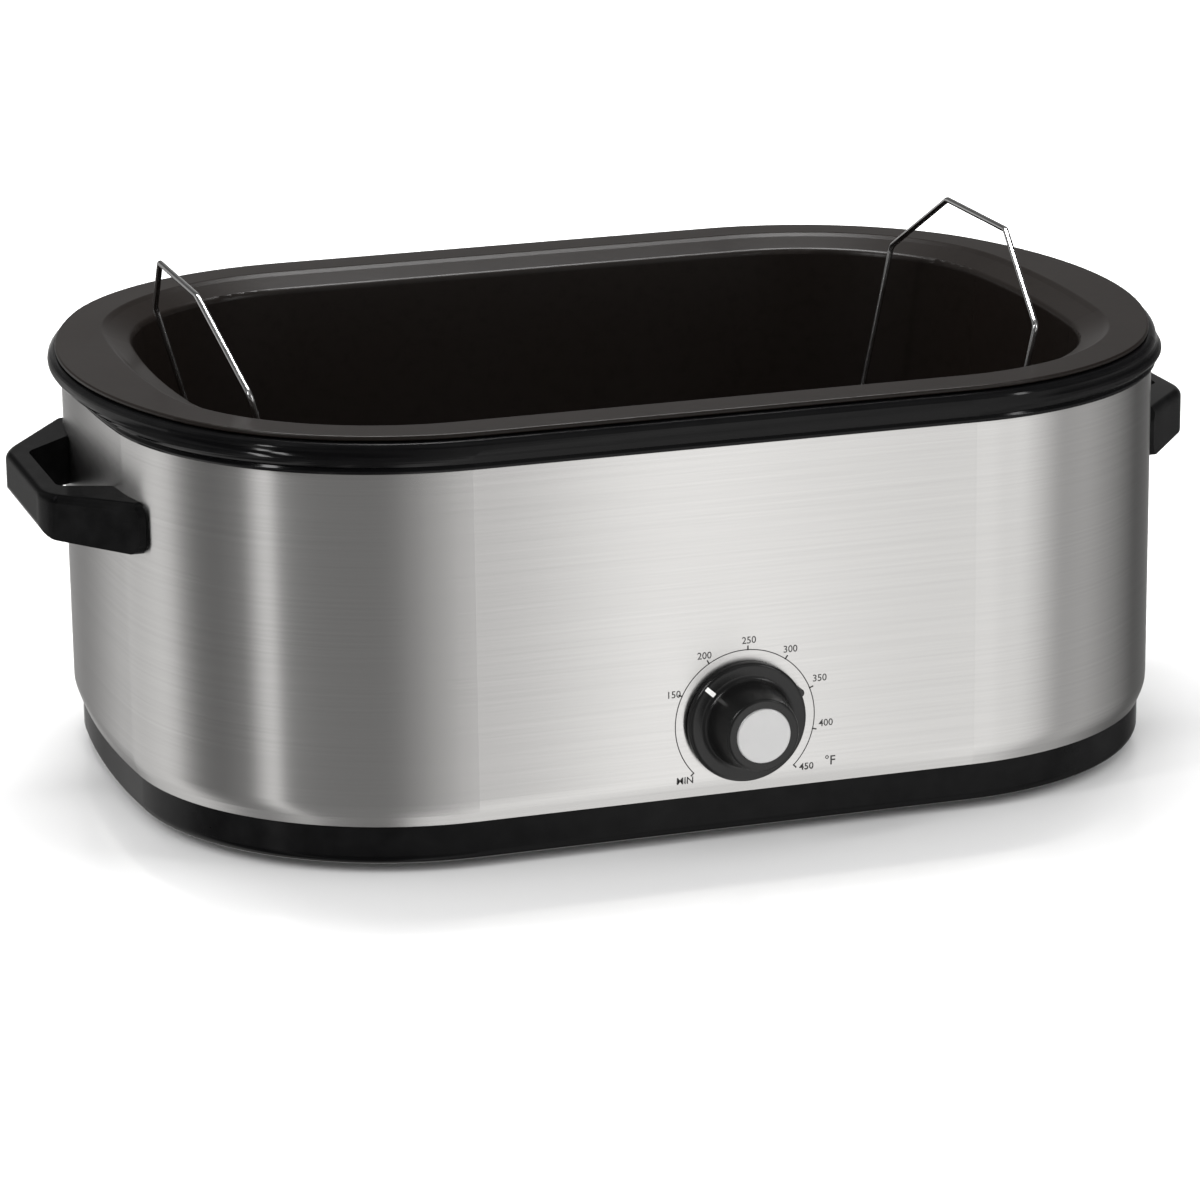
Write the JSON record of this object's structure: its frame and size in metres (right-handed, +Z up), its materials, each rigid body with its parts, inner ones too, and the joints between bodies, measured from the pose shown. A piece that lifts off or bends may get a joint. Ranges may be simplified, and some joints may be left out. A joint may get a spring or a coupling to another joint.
{
  "type": "electric roaster oven",
  "caption": "Free-standing electric roaster oven, open, with a stainless wrap, black rim and end handles, a front dial, and a lift-out pan holding a wire rack with swinging lift handles.",
  "frame": {"origin": "under the middle of the roaster's outline, on the plane that its feet rest on", "axes": "+X to the right along the long side, +Y from the dial towards the back, +Z up"},
  "size_m": [0.588, 0.4056, 0.2505],
  "materials": {
    "stainless_shell": "brushed along the wall, satin",
    "steel_fastener": "plain zinc",
    "black_base": "black baked enamel, glossy",
    "black_collar": "glossy black phenolic",
    "black_handle": "glossy black phenolic",
    "black_knob": "black, semi-gloss",
    "silver_cap": "fine satin",
    "white_mark": "white",
    "pan_enamel": "dark grey speckled enamel, satin",
    "well_enamel": "dark porcelain enamel",
    "chrome_wire": "bright plated wire",
    "plated_steel": "galvanised",
    "glass_fibre": "needled glass fibre",
    "heater_cloth": "heater ribbon in glass and mica tape",
    "tinned_brass": "tinned blades and turned bushing",
    "ceramic_insulator": "unglazed steatite",
    "fuse_case": "bare",
    "rubber_feet": "matt",
    "white_lead": "silicone sleeve"
  },
  "bodies": {
    "housing": {"base_tray": "black_base", "outer_shell": "stainless_shell", "shell_seam": "stainless_shell", "seam_rivets": "steel_fastener", "rim_collar": "black_collar", "oven_well": "well_enamel", "heater_band": "heater_cloth", "heater_tabs": "tinned_brass", "wall_blanket": "glass_fibre", "floor_pad": "glass_fibre", "reflector": "plated_steel", "post_front_left": "plated_steel", "post_front_right": "plated_steel", "post_back_left": "plated_steel", "post_back_right": "plated_steel", "base_screws": "steel_fastener", "foot_front_left": "rubber_feet", "foot_front_right": "rubber_feet", "foot_back_left": "rubber_feet", "foot_back_right": "rubber_feet", "foot_screws": "steel_fastener", "handle_left": "black_handle", "handle_right": "black_handle", "handle_screws_left": "steel_fastener", "handle_screws_right": "steel_fastener", "thermostat_bracket": "plated_steel", "thermostat_body": "ceramic_insulator", "thermostat_bushing": "tinned_brass", "bushing_nut": "steel_fastener", "thermostat_sensor": "tinned_brass", "thermostat_tabs": "tinned_brass", "thermal_fuse": "fuse_case", "fuse_clip": "plated_steel", "cord_gland": "rubber_feet", "terminal_block": "ceramic_insulator", "lead_to_thermostat": "white_lead", "lead_to_heater": "white_lead", "lead_to_fuse": "white_lead", "lead_fuse_to_heater": "white_lead"},
    "dial": {"knob": "black_knob", "knob_cap": "silver_cap", "knob_pointer": "white_mark", "thermostat_shaft": "steel_fastener"},
    "pan": {"insert_pan": "pan_enamel"},
    "rack": {"rack_rim": "chrome_wire", "rack_long_wires": "chrome_wire", "rack_cross_wires": "chrome_wire", "rack_skids": "chrome_wire"},
    "bail_left": {"bail_left": "chrome_wire"},
    "bail_right": {"bail_right": "chrome_wire"}
  },
  "joints": [
    {"name": "dial_turn", "type": "hinge", "parent": "housing", "child": "dial", "pos_m": [0.007, -0.17585, 0.0597], "axis": [0, 1, 0], "range_deg": [-83, 182]},
    {"name": "pan_lift", "type": "slide", "parent": "housing", "child": "pan", "axis": [0, 0, 1], "range_m": [0, 0.19]},
    {"name": "rack_lift", "type": "slide", "parent": "pan", "child": "rack", "axis": [0, 0, 1], "range_m": [0, 0.19]},
    {"name": "left_bail_swing", "type": "hinge", "parent": "rack", "child": "bail_left", "pos_m": [-0.15782, 0.01135, 0.04748], "axis": [0, 1, 0], "range_deg": [-2.5, 99]},
    {"name": "right_bail_swing", "type": "hinge", "parent": "rack", "child": "bail_right", "pos_m": [0.15382, 0.01135, 0.04748], "axis": [0, -1, 0], "range_deg": [-6.5, 92]}
  ]
}
